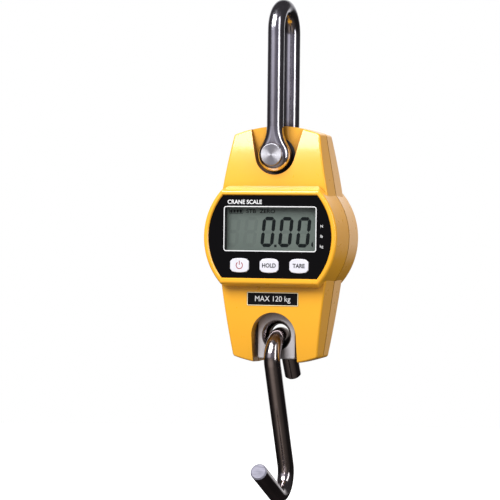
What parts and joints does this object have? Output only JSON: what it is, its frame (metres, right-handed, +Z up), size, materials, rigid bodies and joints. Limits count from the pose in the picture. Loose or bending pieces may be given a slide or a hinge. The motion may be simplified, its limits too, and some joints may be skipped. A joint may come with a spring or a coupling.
{
  "type": "crane scale",
  "caption": "Hand-size crane scale: yellow die-cast housing with a display and keys, hung from a bow shackle, with an S-hook below.",
  "frame": {"origin": "inside of the shackle bow's crown, where the scale hangs", "axes": "+Z up along the line of pull, +Y towards the rear, display towards -Y, +X to the right seen from the front"},
  "size_m": [0.0846, 0.0682, 0.303],
  "materials": {
    "yellow_paint": "satin gloss paint on a die casting",
    "polished_steel": "polished stainless",
    "turned_steel": "fine turned",
    "hook_steel": "polished stainless, darker",
    "aluminium": "fine milled",
    "bronze": "sintered bronze",
    "black_panel": "glossy",
    "black_label": "satin print",
    "black_plastic": "fine moulded",
    "clear_window": "clear",
    "lcd": "reflective LCD with polariser",
    "diffuser": "milky",
    "key_white": "smooth moulded",
    "seal_rubber": "soft black rubber",
    "circuit_board": "solder mask",
    "gauge_foil": "thin foil",
    "cell_jacket": "printed steel can",
    "nickel": "nickel plated spring steel",
    "door_plastic": "fine moulded texture",
    "wire_insulation": "PVC insulation",
    "screw_steel": "dark zinc"
  },
  "bodies": {
    "shackle": {"shackle_bow": "polished_steel", "shackle_pin": "turned_steel", "pin_nut": "turned_steel", "pin_washers": "black_plastic"},
    "housing": {"pin_bush": "bronze", "load_cell": "aluminium", "strain_gauges": "gauge_foil", "gauge_covers": "turned_steel", "front_shell": "yellow_paint", "rear_shell": "yellow_paint", "shell_seal": "seal_rubber", "display_panel": "black_panel", "window_lens": "clear_window", "capacity_label": "black_label", "lcd_frame": "black_plastic", "lcd_glass": "lcd", "backlight": "diffuser", "zebra_strips": "seal_rubber", "main_board": "circuit_board", "board_chips": "black_plastic", "key_switches": "black_plastic", "battery_tray": "black_plastic", "battery_1": "cell_jacket", "battery_2": "cell_jacket", "battery_3": "cell_jacket", "battery_contacts": "nickel", "battery_springs": "nickel", "gauge_wires": "wire_insulation", "battery_wires": "wire_insulation", "shell_screws": "screw_steel", "cell_screws": "screw_steel", "board_screws": "screw_steel"},
    "hook_bush": {"hook_bush": "turned_steel"},
    "hook": {"hook": "hook_steel"},
    "power_key": {"power_key": "key_white"},
    "hold_key": {"hold_key": "key_white"},
    "tare_key": {"tare_key": "key_white"},
    "battery_door": {"battery_door": "door_plastic", "door_pins": "turned_steel"}
  },
  "joints": [
    {"name": "housing_swing", "type": "hinge", "parent": "shackle", "child": "housing", "pos_m": [0, 0, -0.0841], "axis": [0, 1, 0], "range_deg": [-30, 30]},
    {"name": "hook_swing", "type": "hinge", "parent": "housing", "child": "hook_bush", "pos_m": [0, 0, -0.1917], "axis": [0, 1, 0], "range_deg": [-20, 20]},
    {"name": "hook_rock", "type": "hinge", "parent": "hook_bush", "child": "hook", "pos_m": [0, 0, -0.20795], "axis": [1, 0, 0], "range_deg": [-15, 15]},
    {"name": "power_press", "type": "slide", "parent": "housing", "child": "power_key", "axis": [0, 1, 0], "range_m": [0, 0.0007], "stiffness_N_per_m": 1400},
    {"name": "hold_press", "type": "slide", "parent": "housing", "child": "hold_key", "axis": [0, 1, 0], "range_m": [0, 0.0007], "stiffness_N_per_m": 1400},
    {"name": "tare_press", "type": "slide", "parent": "housing", "child": "tare_key", "axis": [0, 1, 0], "range_m": [0, 0.0007], "stiffness_N_per_m": 1400},
    {"name": "door_swing", "type": "hinge", "parent": "housing", "child": "battery_door", "pos_m": [0, 0.0209, -0.117], "axis": [1, 0, 0], "range_deg": [0, 90]}
  ]
}
